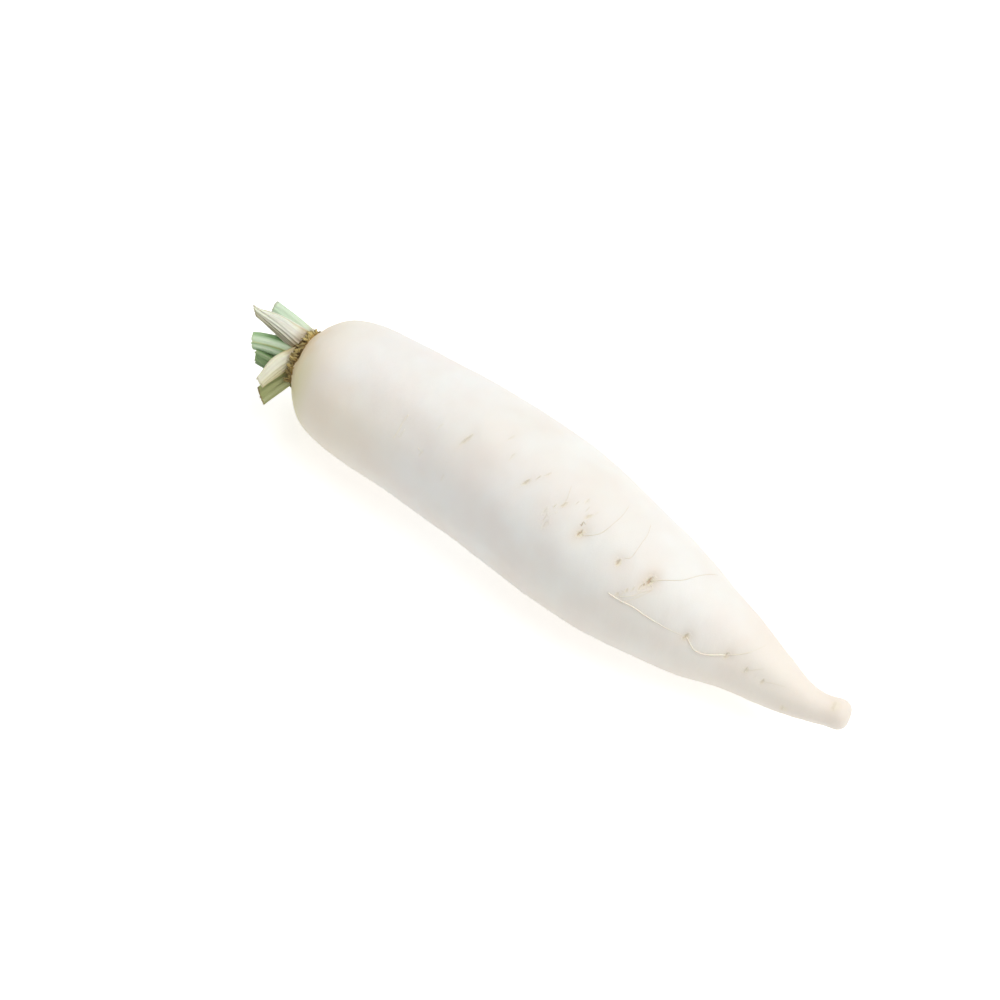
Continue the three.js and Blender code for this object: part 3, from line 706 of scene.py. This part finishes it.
# In the far row a rootlet hangs on every slit that is well stained
random = np.random.default_rng(4)
rootlets = [rootlet_part(*rootlet) for rootlet in ROOTLETS]
for x, degrees, _, _, _, stain, _ in SLITS:
    if degrees > FAR_ROW and stain > OLD_STAIN:
        turn = random.uniform(22, 44) * np.linspace(0, 1, 5)
        wander = np.cumsum(random.normal(0.8, 1.4, 5))
        places = np.stack([x + wander - wander[0], degrees + turn], -1)
        rootlets.append(rootlet_part(0.2, 0.09, 0.7 * stain, places))
side_roots = add_piece("side_rootlets", joined(rootlets))

# %% Frayed threads at the collar
THREADS = 80
THREAD_STEPS = 12
random = np.random.default_rng(15)
threads = []
for number in range(THREADS):
    turn = 2 * np.pi * (number + random.uniform(0, 1)) / THREADS
    x = random.uniform(0.6, 2.4)
    distance = random.uniform(14.2, 16.4)
    centre, side, up = axis_at(x)
    outward = math.cos(turn) * side + math.sin(turn) * up
    along_neck = np.array([-1.0, 0, 0])
    round_neck = np.cross(along_neck, outward)
    lean_out, lean_round, length = random.uniform(-0.1, 0.55), random.normal(0, 0.5), random.uniform(2, 5.5)
    heading = unit(along_neck + lean_out * outward + lean_round * round_neck)
    bend = random.normal(0, 0.9, 3)
    s = np.linspace(0, 1, THREAD_STEPS)[:, None]
    path = centre + distance * outward + length * s * heading + bend * s**2
    radii = random.uniform(0.07, 0.16) * (1 - 0.6 * s[:, 0])
    threads.append(tube_part(path, outward, radii, random.uniform(0.2, 1), 5))
collar_threads = add_piece("collar_threads", joined(threads))

# %% [markdown]
# Finishes are node materials. A few small helpers keep their graphs short: one adds a node and
# fills its inputs with values or links, one mixes two colours, and one turns a value into a soft
# threshold. Effects that several finishes share are node groups, built once.

# %% Helpers for node graphs
def colour(code):
    """A web colour such as #f3f0e7 as the linear red, green, blue and alpha that Blender works in."""
    parts = [int(code[i : i + 2], 16) / 255 for i in (1, 3, 5)]
    return [p / 12.92 if p <= 0.04045 else ((p + 0.055) / 1.055) ** 2.4 for p in parts] + [1]


def add(tree, kind, values=(), **settings):
    """A new node. Its inputs, by name or number, take a value or a link from another node's output."""
    node = tree.nodes.new(kind)
    for key, value in settings.items():
        setattr(node, key, value)
    for key, value in dict(values).items():
        if isinstance(value, bpy.types.NodeSocket):
            tree.links.new(value, node.inputs[key])
        else:
            node.inputs[key].default_value = value
    return node


def mixed(tree, factor, a, b):
    """Colour a turned into colour b by the factor."""
    return add(tree, "ShaderNodeMix", {0: factor, 6: a, 7: b}, data_type="RGBA").outputs[2]


def sums(tree, operation, a, b=0.0):
    """One step of arithmetic."""
    return add(tree, "ShaderNodeMath", {0: a, 1: b}, operation=operation).outputs[0]


def threshold(tree, value, low, high, start=0.0, end=1.0):
    """`start` below low and `end` above high, with a smooth passage between them."""
    limits = {"Value": value, "From Min": low, "From Max": high, "To Min": start, "To Max": end}
    return add(tree, "ShaderNodeMapRange", limits, interpolation_type="SMOOTHSTEP").outputs[0]


def noise(tree, vector, scale, detail=3.0, roughness=0.55):
    """Blender's noise texture, as a value round 0.5."""
    values = {"Vector": vector, "Scale": scale, "Detail": detail, "Roughness": roughness}
    return add(tree, "ShaderNodeTexNoise", values).outputs[0]


def named(tree, name, output="Fac"):
    """A vertex attribute's value, or its vector."""
    return add(tree, "ShaderNodeAttribute", attribute_name=name).outputs[output]


def place_in(tree, scale):
    """Object coordinates, stretched by a scale per axis."""
    coordinates = add(tree, "ShaderNodeTexCoord").outputs["Object"]
    return add(tree, "ShaderNodeMapping", {"Vector": coordinates, "Scale": scale}).outputs[0]


def shared_group(name, inputs, outputs):
    """An empty node group with its sockets: its tree, what comes in and what goes out."""
    tree = bpy.data.node_groups.new(name, "ShaderNodeTree")
    for label, kind in inputs.items():
        tree.interface.new_socket(label, in_out="INPUT", socket_type="NodeSocket" + kind)
    for label, kind in outputs.items():
        tree.interface.new_socket(label, in_out="OUTPUT", socket_type="NodeSocket" + kind)
    return tree, add(tree, "NodeGroupInput").outputs, add(tree, "NodeGroupOutput").inputs


# %% [markdown]
# Four effects are shared. Patches let one tint drift into another. Fibres are fine streaks
# along the grain, with a height for the bump. A slit mark works in the slit's own measure: a
# pale halo, a thin dark line to one side and a raised lip. A stain gives a field of numbers a
# broken edge. Painted textures would do this too, but these work at any distance.

# %% Shared effects
patches, enter, leave = shared_group(
    "Drifting patches", {"Vector": "Vector", "Scale": "Float", "Softness": "Float"}, {"Mask": "Float"})
clouds = noise(patches, enter["Vector"], enter["Scale"], 2.0)
low = sums(patches, "SUBTRACT", 0.5, enter["Softness"])
high = sums(patches, "ADD", 0.5, enter["Softness"])
patches.links.new(threshold(patches, clouds, low, high), leave["Mask"])

fibres, enter, leave = shared_group(
    "Fibres", {"Vector": "Vector", "Scale": "Float"}, {"Light": "Float", "Height": "Float"})
coarse = noise(fibres, enter["Vector"], enter["Scale"], 2.0, 0.6)
fine_scale = sums(fibres, "MULTIPLY", enter["Scale"], 3.1)
fine = noise(fibres, enter["Vector"], fine_scale, 3.0, 0.6)
both = sums(fibres, "ADD", sums(fibres, "MULTIPLY", coarse, 0.6), sums(fibres, "MULTIPLY", fine, 0.4))
fibres.links.new(threshold(fibres, both, 0.36, 0.64), leave["Light"])
fibres.links.new(both, leave["Height"])

slits, enter, leave = shared_group(
    "Slit marks", {"Place": "Vector", "Wobble": "Float"},
    {"Halo": "Float", "Line": "Float", "Height": "Float"})
wobble = sums(slits, "MULTIPLY", sums(slits, "SUBTRACT", enter["Wobble"], 0.5), 1.6)
along_it, round_it, _ = add(slits, "ShaderNodeSeparateXYZ", {0: enter["Place"]}).outputs
across_line = sums(slits, "MULTIPLY", sums(slits, "ADD", sums(slits, "ADD", along_it, 0.25), wobble), 2.6)
line_place = add(slits, "ShaderNodeCombineXYZ", {0: across_line, 1: round_it}).outputs[0]
reach = add(slits, "ShaderNodeVectorMath", {0: enter["Place"]}, operation="LENGTH").outputs["Value"]
reach = sums(slits, "ADD", reach, wobble)
from_line = add(slits, "ShaderNodeVectorMath", {0: line_place}, operation="LENGTH").outputs["Value"]
slits.links.new(threshold(slits, reach, 0.5, 1.35, 1, 0), leave["Halo"])
slits.links.new(threshold(slits, from_line, 0.4, 1.2, 1, 0), leave["Line"])
lip_outside = threshold(slits, reach, 1.0, 1.7, 1, 0)
lip_inside = threshold(slits, reach, 0.5, 1.0, 0, 0.35)
lip = sums(slits, "MULTIPLY", lip_outside, lip_inside)
slits.links.new(sums(slits, "SUBTRACT", lip, threshold(slits, from_line, 0.1, 1.5, 1, 0)), leave["Height"])

stains, enter, leave = shared_group(
    "Stain with a broken edge", {"Field": "Float", "Vector": "Vector", "Scale": "Float"},
    {"Halo": "Float", "Core": "Float"})
broken = threshold(stains, noise(stains, enter["Vector"], enter["Scale"], 4.0, 0.65), 0.25, 0.75, 0.6, 1.3)
field = sums(stains, "MULTIPLY", enter["Field"], broken)
stains.links.new(threshold(stains, field, 0.08, 0.5), leave["Halo"])
stains.links.new(threshold(stains, field, 0.45, 0.85), leave["Core"])


def effect(tree, group, **values):
    """A shared effect placed in a material with its own values: its outputs."""
    return add(tree, "ShaderNodeGroup", values, node_tree=group).outputs


def new_finish(name, **fixed):
    """A material with one Principled shader, whose unchanging values are set on its own sockets."""
    material = bpy.data.materials.new(name)
    material.use_nodes = True
    tree = material.node_tree
    shader = tree.nodes["Principled BSDF"]
    for key, value in fixed.items():
        shader.inputs[key.replace("_", " ").title().replace("Ior", "IOR")].default_value = value
    return material, tree, shader


def finish_with(tree, shader, base, roughness, height, depth, strength=1.0):
    """Links colour, roughness and a bump of the given depth in metres into the shader."""
    bump = add(tree, "ShaderNodeBump", {"Height": height, "Distance": depth, "Strength": strength})
    tree.links.new(base, shader.inputs["Base Color"])
    tree.links.new(roughness, shader.inputs["Roughness"])
    tree.links.new(bump.outputs[0], shader.inputs["Normal"])


# %% [markdown]
# The skin is satin white with a little light inside it, so the shader scatters light a few
# millimetres deep. Warm and pearly patches drift over it, the shoulder is creamier near the crown,
# with painted warm reflected light on its lower front flank, and each slit has its own stain and
# pit in a warmer patch. Cross lines and pores come from the bump.

# %% Finish of the root
skin_finish, tree, shader = new_finish(
    "white_root_skin", subsurface_weight=0.16, subsurface_scale=0.002, specular_ior_level=0.22,
    coat_weight=0.04, coat_roughness=0.3)
shader.inputs["Subsurface Radius"].default_value = (1.0, 0.8, 0.6)
even_place = place_in(tree, (1, 1, 1))
cross_place = place_in(tree, (4, 1, 1))
pearl = effect(tree, patches, Vector=even_place, Scale=26.0, Softness=0.2)["Mask"]
creamy = effect(tree, patches, Vector=even_place, Scale=11.0, Softness=0.25)["Mask"]
base = mixed(tree, sums(tree, "MULTIPLY", pearl, 0.75), colour("#f4f5f2"), colour("#f4ede8"))
base = mixed(tree, sums(tree, "MULTIPLY", creamy, 0.5), base, colour("#f0ebdc"))
blush = effect(tree, patches, Vector=even_place, Scale=36.0, Softness=0.16)["Mask"]
base = mixed(tree, sums(tree, "MULTIPLY", blush, 0.22), base, colour("#eadcd0"))
# Creamy near the crown; on the lower front flank this cream is painted warm reflected light.
base = mixed(tree, sums(tree, "MULTIPLY", named(tree, "shoulder"), 0.5), base, colour("#f6e8cc"))
base = mixed(tree, sums(tree, "MULTIPLY", named(tree, "flush"), 0.6), base, colour("#f0d3a4"))
base = mixed(tree, sums(tree, "MULTIPLY", named(tree, "greening"), 0.55), base, colour("#d9d49a"))
base = mixed(tree, sums(tree, "MULTIPLY", named(tree, "tail"), 0.55), base, colour("#f7eadb"))
base = mixed(tree, sums(tree, "MULTIPLY", named(tree, "warm"), 0.6), base, colour("#e9d8c2"))
wobble = noise(tree, even_place, 900.0, 3.0, 0.6)
stain = named(tree, "stain")
marks = effect(tree, slits, Place=named(tree, "slit", "Vector"), Wobble=wobble)
halo = sums(tree, "MULTIPLY", marks["Halo"], threshold(tree, stain, 0, 0.8, 0.1, 0.9))
line = sums(tree, "MULTIPLY", marks["Line"], threshold(tree, stain, 0, 1, 0.08, 0.6))
base = mixed(tree, halo, base, colour("#f3ead2"))
line_colour = mixed(tree, stain, colour("#c8bfa0"), colour("#bc9270"))
base = mixed(tree, line, base, line_colour)
cork = effect(tree, stains, Field=named(tree, "cork"), Vector=even_place, Scale=420.0)
base = mixed(tree, sums(tree, "MULTIPLY", cork["Halo"], 0.85), base, colour("#b89a5c"))
base = mixed(tree, cork["Core"], base, colour("#57421f"))
pores = noise(tree, even_place, 1400.0, 2.0)
cross_lines = noise(tree, cross_place, 90.0, 4.0, 0.6)
fine = sums(tree, "ADD", sums(tree, "MULTIPLY", pores, 0.04), sums(tree, "MULTIPLY", cross_lines, 0.22))
sunk = sums(tree, "MULTIPLY", marks["Height"], sums(tree, "MULTIPLY", named(tree, "pit"), 0.6))
height = sums(tree, "ADD", fine, sunk)
dull = sums(tree, "MAXIMUM", halo, cork["Halo"])
roughness = threshold(tree, sums(tree, "ADD", dull, sums(tree, "MULTIPLY", pearl, 0.12)), 0, 1, 0.42, 0.8)
finish_with(tree, shader, base, roughness, height, MM)
skin.data.materials.append(skin_finish)

# %% [markdown]
# Each stalk has its own greens, from pale dried skin to deep fresh flesh, but the pattern is one:
# whitish at the base, greener along the stalk, with a painted highlight along its lit side, painted
# shade in its creases, in its groove and on its lower side, and glassy where it was cut. So one
# function makes them all from a short list of colours.

# %% Finishes of the stalks
# Colours: at the base, along the stalk, near the cut, pale tint and painted highlight, painted shade
# in creases and the groove (also darker grain), painted shade on the lower side, of the cut
STALK_LOOKS = {
    "pale": ["#f1ecd8", "#f1f8e8", "#e8f1d0", "#f7f5e6", "#6b634a", "#c9c3a2", "#cfd3b4"],
    "mint": ["#e8e8d2", "#cfe2c4", "#c3ddbd", "#e0eed6", "#8fa880", "#bdd2b2", "#c9dcc0"],
    "fresh": ["#a9c470", "#86b869", "#94c181", "#e6f4da", "#466a2c", "#93ae8a", "#bdd2b4"],
    "deep": ["#869e5e", "#6b8f53", "#6f935d", "#abbb90", "#3f5a30", "#6c8a5e", "#a5bb9c"],
    "cream": ["#f0e7ba", "#faf6da", "#f3f1d0", "#f4f2de", "#94854c", "#ddd6aa", "#d6dab0"],
    "olive": ["#a09c5e", "#aeb478", "#a9b06e", "#c2c896", "#5c6034", "#989e60", "#b0b68a"],
}
BROWNED = "#8d7a55"


def stalk_finish(look, browning):
    """The finish of a stalk in one of the looks, with its cut edge browned by a share."""
    at_base, body_tint, near_cut, pale_tint_and_highlight, grain_and_crease_shade, below, on_face = map(colour, STALK_LOOKS[look])
    material, tree, shader = new_finish(f"stalk_{look}_{round(100 * browning)}", subsurface_weight=0.18,
                                        subsurface_scale=0.002)
    shader.inputs["Subsurface Radius"].default_value = (0.7, 1.0, 0.4)
    grain = named(tree, "grain", "Vector")
    grow, face = named(tree, "grow"), named(tree, "face")
    threads = effect(tree, fibres, Vector=grain, Scale=1.1)
    clouds = effect(tree, patches, Vector=grain, Scale=0.22, Softness=0.22)["Mask"]
    base = mixed(tree, threshold(tree, grow, 0.12, 0.5), at_base, body_tint)
    base = mixed(tree, threshold(tree, grow, 0.55, 1), base, near_cut)
    # Painted shade: the lower side of the stalk is darker.
    base = mixed(tree, sums(tree, "MULTIPLY", named(tree, "painted_side_shade"), 0.85), base, below)
    base = mixed(tree, sums(tree, "MULTIPLY", clouds, 0.25), base, pale_tint_and_highlight)
    # Painted highlight: a lighter band along the lit side of the stalk's back.
    base = mixed(tree, sums(tree, "MULTIPLY", named(tree, "painted_highlight"), 0.85), base, pale_tint_and_highlight)
    base = mixed(tree, sums(tree, "MULTIPLY", threads["Light"], 0.22), base, pale_tint_and_highlight)
    shade = sums(tree, "MULTIPLY", sums(tree, "SUBTRACT", 1.0, threads["Light"]), 0.12)
    base = mixed(tree, shade, base, grain_and_crease_shade)
    # Painted shade in the stalk's groove and in the creases of its folds.
    base = mixed(tree, sums(tree, "MULTIPLY", named(tree, "inner"), 0.3), base, grain_and_crease_shade)
    base = mixed(tree, sums(tree, "MULTIPLY", named(tree, "crease"), 0.85), base, grain_and_crease_shade)
    base = mixed(tree, sums(tree, "MULTIPLY", named(tree, "gold"), 0.42), base, colour("#bca656"))
    # Painted shadow: a dark green band where a neighbouring stalk shades this one, fading towards the cut.
    base = mixed(tree, sums(tree, "MULTIPLY", named(tree, "shaded"), 0.9), base, colour("#3c6a26"))
    base = mixed(tree, threshold(tree, grow, 0.3, 0.14, 0, 0.5), base, colour("#a58440"))
    cells = add(tree, "ShaderNodeTexVoronoi", {"Vector": grain, "Scale": 2.2}).outputs["Distance"]
    glassy = mixed(tree, threshold(tree, cells, 0.1, 0.6, 0, 0.5), on_face, colour("#eef0e0"))
    base = mixed(tree, threshold(tree, face, 0.5, 0.75), base, glassy)
    edge = effect(tree, stains, Field=threshold(tree, grow, 0.9, 1), Vector=grain, Scale=1.2)["Core"]
    base = mixed(tree, sums(tree, "MULTIPLY", edge, browning), base, colour(BROWNED))
    cut_cells = sums(tree, "MULTIPLY", sums(tree, "MULTIPLY", cells, face), 0.4)
    height = sums(tree, "ADD", threads["Height"], cut_cells)
    roughness = threshold(tree, sums(tree, "ADD", threads["Light"], face), 0, 2, 0.42, 0.6)
    finish_with(tree, shader, base, roughness, height, 0.0003, 0.6)
    return material


for stalk, piece in zip(STALKS, stalks):
    piece.data.materials.append(stalk_finish(stalk["look"], stalk["browning"]))

# %% [markdown]
# The papery bases run from dark brown at the foot to gold and straw at the torn edge, with
# fibres along them. Rootlets are as white as the skin where they are young and tan where old.

# %% Finishes of papery bases, threads and rootlets
paper_finish, tree, shader = new_finish("dry_papery_leaf_base", specular_ior_level=0.3)
grain = named(tree, "grain", "Vector")
threads_out = effect(tree, fibres, Vector=grain, Scale=1.6)
drift = effect(tree, patches, Vector=grain, Scale=0.35, Softness=0.2)["Mask"]
foot = mixed(tree, named(tree, "tone"), colour("#433317"), colour("#a9823a"))
upper = mixed(tree, named(tree, "tone"), colour("#675228"), colour("#d3c07e"))
base = mixed(tree, threshold(tree, named(tree, "height"), 0.05, 0.8), foot, upper)
base = mixed(tree, sums(tree, "MULTIPLY", drift, 0.25), base, colour("#b79c5a"))
streaks = noise(tree, grain, 1.1, 2.0, 0.5)
base = mixed(tree, threshold(tree, streaks, 0.54, 0.64, 0, 0.5), base, colour("#dccb8e"))
base = mixed(tree, threshold(tree, streaks, 0.36, 0.46, 0.6, 0), base, colour("#42331a"))
base = mixed(tree, sums(tree, "MULTIPLY", named(tree, "fringe"), 0.3), base, colour("#dccf9a"))
roughness = threshold(tree, threads_out["Light"], 0, 1, 0.7, 0.9)
finish_with(tree, shader, base, roughness, threads_out["Height"], 0.0004, 0.8)
for piece in papers:
    piece.data.materials.append(paper_finish)

thread_finish, tree, shader = new_finish("frayed_thread", specular_ior_level=0.3)
tint = mixed(tree, named(tree, "browning"), colour("#dccf98"), colour("#8a6c38"))
speckle = noise(tree, place_in(tree, (1, 1, 1)), 1800.0)
finish_with(tree, shader, tint, threshold(tree, speckle, 0.3, 0.7, 0.6, 0.9), speckle, 0.0001)
collar_threads.data.materials.append(thread_finish)

rootlet_finish, tree, shader = new_finish("thin_side_root", subsurface_weight=0.15, subsurface_scale=0.001)
browned = sums(tree, "MULTIPLY", named(tree, "browning"), 0.7)
tint = mixed(tree, browned, colour("#f8f2e4"), colour("#c4a882"))
speckle = noise(tree, place_in(tree, (1, 1, 1)), 1500.0)
tint = mixed(tree, sums(tree, "MULTIPLY", speckle, 0.3), tint, colour("#e6d8bd"))
finish_with(tree, shader, tint, threshold(tree, speckle, 0.3, 0.7, 0.45, 0.7), speckle, 0.0001)
side_roots.data.materials.append(rootlet_finish)
print(len(bpy.data.materials), "materials,", len(bpy.data.node_groups), "shared effects")

# %% [markdown]
# The studio is a white floor under wide soft lights, as for a catalogue picture. A bright world
# fills the shadows. The floor glows a little, and more to the camera than to the root, so that
# it stays white while the root's underside keeps its shade. The camera looks down on the root,
# which lies across the picture from upper left to lower right with its crown to the left.

# %% Floor and world
FLOOR_HALF = 3.0
FLOOR_GLOW = 0.22
FLOOR_GLOW_SEEN = 0.48
FLOOR_HEIGHT = -0.0002
WORLD_GLOW = 0.39
corners = [(FLOOR_HALF * x, FLOOR_HALF * y, FLOOR_HEIGHT) for x, y in [(-1, -1), (1, -1), (1, 1), (-1, 1)]]
floor_mesh = bpy.data.meshes.new("floor")
floor_mesh.from_pydata(corners, [], [(0, 1, 2, 3)])
floor = bpy.data.objects.new("floor", floor_mesh)
bpy.context.scene.collection.objects.link(floor)
floor_finish, tree, shader = new_finish("white_floor", roughness=0.9, specular_ior_level=0.1)
shader.inputs["Base Color"].default_value = colour("#f8f8f8")
shader.inputs["Emission Color"].default_value = colour("#fffdf9")
seen = add(tree, "ShaderNodeLightPath").outputs["Is Camera Ray"]
tree.links.new(threshold(tree, seen, 0, 1, FLOOR_GLOW, FLOOR_GLOW_SEEN), shader.inputs["Emission Strength"])
floor.data.materials.append(floor_finish)

world = bpy.data.worlds.new("bright studio")
world.use_nodes = True
backdrop = world.node_tree.nodes["Background"].inputs
backdrop["Color"].default_value = colour("#ffffff")
backdrop["Strength"].default_value = WORLD_GLOW
bpy.context.scene.world = world

# %% Three soft lights
def soft_light(name, place, size, power):
    """A square area light at a place in metres, turned to the model's origin, its power in watts."""
    light = bpy.data.lights.new(name, "AREA")
    light.size = size
    light.energy = power
    lamp = bpy.data.objects.new(name, light)
    lamp.location = place
    lamp.rotation_mode = "QUATERNION"
    lamp.rotation_quaternion = (-Vector(place)).to_track_quat("-Z", "Y")
    bpy.context.scene.collection.objects.link(lamp)


soft_light("overhead", (0.5, 0.34, 1.06), size=1.1, power=8.7)
soft_light("left", (-0.6, 0.3, 1.0), size=0.9, power=3.4)
soft_light("front", (0.9, -0.8, 0.6), size=1.0, power=1.3)

# %% Camera
AZIMUTH, ELEVATION = math.radians(37.55), math.radians(56)
AIM = to_frame([131.33, -3.04, 30])
DISTANCE = 1.3
LENS = 91.83
back = Vector((math.sin(AZIMUTH) * math.cos(ELEVATION), -math.cos(AZIMUTH) * math.cos(ELEVATION),
               math.sin(ELEVATION)))
camera = bpy.data.objects.new("camera", bpy.data.cameras.new("camera"))
camera.data.lens = LENS
camera.location = Vector(AIM) + DISTANCE * back
camera.rotation_mode = "QUATERNION"
camera.rotation_quaternion = (-back).to_track_quat("-Z", "Y")
bpy.context.scene.collection.objects.link(camera)
bpy.context.scene.camera = camera
bpy.context.scene.view_settings.view_transform = "Standard"
